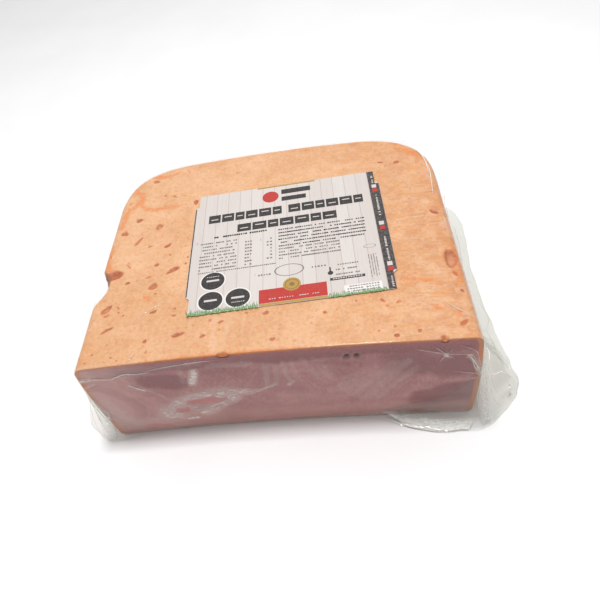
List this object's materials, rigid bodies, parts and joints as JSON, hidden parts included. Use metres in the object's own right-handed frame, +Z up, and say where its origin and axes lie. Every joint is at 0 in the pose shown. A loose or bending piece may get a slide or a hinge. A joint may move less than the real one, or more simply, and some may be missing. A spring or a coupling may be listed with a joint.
{
  "type": "vacuum packed smoked pork shoulder block",
  "caption": "Half block of cooked smoked pork shoulder with a pink cut face, shrunk in clear film with loose flaps at the base, and a printed label on top.",
  "frame": {"origin": "on the flat base that the block rests on, under the middle of the block", "axes": "+Z up, +X along the cut face to its right, +Y from the cut face to the moulded back end"},
  "size_m": [0.2567, 0.1944, 0.0662],
  "materials": {
    "smoked_pork": "moist cooked meat: tan smoked skin with orange-brown pits, mauve-pink cut face",
    "clear_film": "thin clear glossy polyethylene and polyamide film, creased",
    "printed_label": "satin coated paper label, printed in flat colours"
  },
  "bodies": {
    "root": {"pork_block": "smoked_pork", "bag_skirt": "clear_film", "label": "printed_label"}
  },
  "joints": []
}
